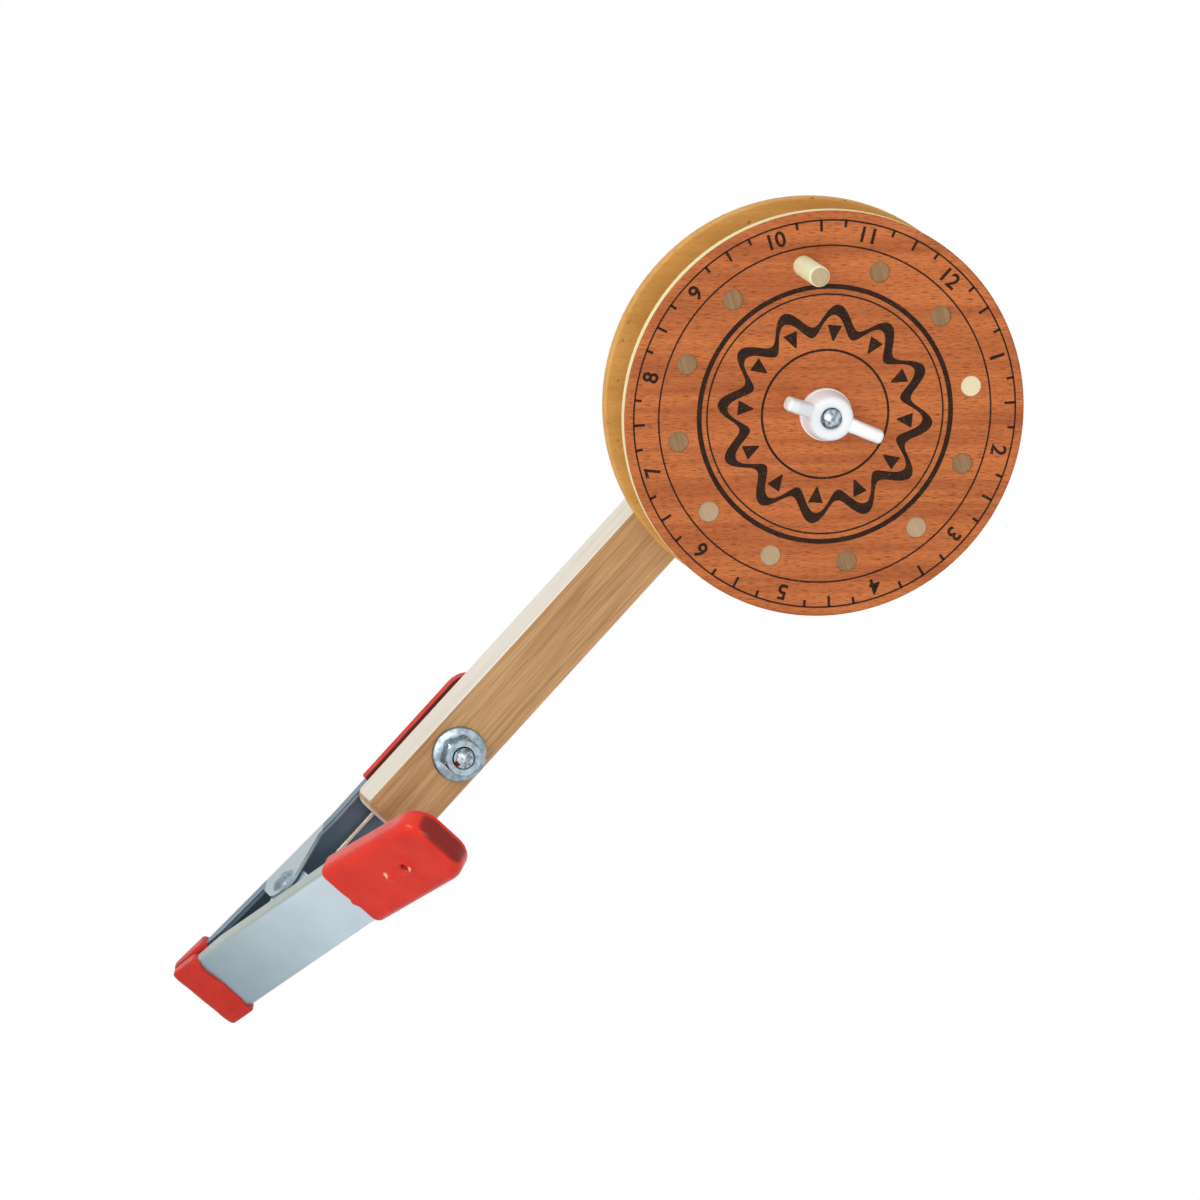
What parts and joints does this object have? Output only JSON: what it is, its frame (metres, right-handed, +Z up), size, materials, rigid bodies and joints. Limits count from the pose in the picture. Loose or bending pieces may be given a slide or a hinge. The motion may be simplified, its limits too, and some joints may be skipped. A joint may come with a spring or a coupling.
{
  "type": "clamp-on line reel",
  "caption": "Wooden line spool of two discs and a ring of dowels, turning on a bolt with a wing nut drag, on a wooden arm bolted to a sprung steel clamp.",
  "frame": {"origin": "grip point between the two closed jaw tips, in the middle of their width", "axes": "+Z up along the arm towards the spool, the face of the spool looks towards -Y, +X to the right as the face is seen"},
  "size_m": [0.124, 0.1037, 0.3212],
  "materials": {
    "stained_plywood": "brown stain, satin",
    "plain_plywood": "unstained, sanded",
    "dowel_wood": "unstained, sanded",
    "peg_wood": "unstained, sanded",
    "ball_wood": "unstained, smooth",
    "arm_wood": "light oak, sanded",
    "zinc_plated_steel": "bright zinc",
    "spacer_nylon": "plain",
    "white_nylon": "smooth moulded",
    "lever_steel": "bright pressed sheet",
    "red_vinyl": "dipped, glossy",
    "spring_steel": "plated wire"
  },
  "bodies": {
    "stand": {"arm": "arm_wood", "axle_bolt": "zinc_plated_steel", "axle_washer": "zinc_plated_steel", "axle_lock_nut": "zinc_plated_steel", "axle_spacer": "spacer_nylon", "arm_bolt": "zinc_plated_steel", "arm_bolt_nut": "zinc_plated_steel", "arm_bolt_front_washer": "zinc_plated_steel", "arm_bolt_back_washer": "zinc_plated_steel", "rear_lever": "lever_steel", "rear_grip": "red_vinyl", "rear_jaw_tip": "red_vinyl", "pivot_rivet": "zinc_plated_steel", "torsion_spring": "spring_steel"},
    "spool": {"front_flange": "stained_plywood", "rear_flange": "plain_plywood", "spool_dowel_01": "dowel_wood", "spool_dowel_02": "dowel_wood", "spool_dowel_03": "dowel_wood", "spool_dowel_04": "dowel_wood", "spool_dowel_05": "dowel_wood", "spool_dowel_06": "dowel_wood", "spool_dowel_07": "dowel_wood", "spool_dowel_08": "dowel_wood", "spool_dowel_09": "dowel_wood", "spool_dowel_10": "dowel_wood", "spool_dowel_11": "dowel_wood", "crank_peg": "peg_wood"},
    "ball": {"rattle_ball": "ball_wood"},
    "front_clamp": {"front_lever": "lever_steel", "front_grip": "red_vinyl", "front_jaw_tip": "red_vinyl"},
    "drag": {"drag_washer": "white_nylon"},
    "nut": {"wing_nut": "white_nylon"}
  },
  "joints": [
    {"name": "spool_turn", "type": "hinge", "parent": "stand", "child": "spool", "pos_m": [-0.002, -0.06262, 0.25526], "axis": [0, -1, 0], "continuous": true},
    {"name": "ball_roll", "type": "hinge", "parent": "stand", "child": "ball", "pos_m": [-0.002, -0.06262, 0.25526], "axis": [0, -1, 0], "continuous": true},
    {"name": "clamp_open", "type": "hinge", "parent": "stand", "child": "front_clamp", "pos_m": [0, -0.01781, 0.04056], "axis": [-1, 0, 0], "range_deg": [0, 30], "stiffness_Nm_per_rad": 1.9, "springref_deg": -36.1, "deforming": ["torsion_spring"]},
    {"name": "drag_travel", "type": "slide", "parent": "stand", "child": "drag", "axis": [0, -1, 0], "range_m": [0, 0.000635]},
    {"name": "nut_turn", "type": "hinge", "parent": "drag", "child": "nut", "pos_m": [-0.002, -0.07987, 0.25526], "axis": [0, -1, 0], "range_deg": [0, 180]}
  ],
  "couplings": [
    {"joint": "nut_turn", "follows": "drag_travel", "rad_per_m": 4947}
  ]
}
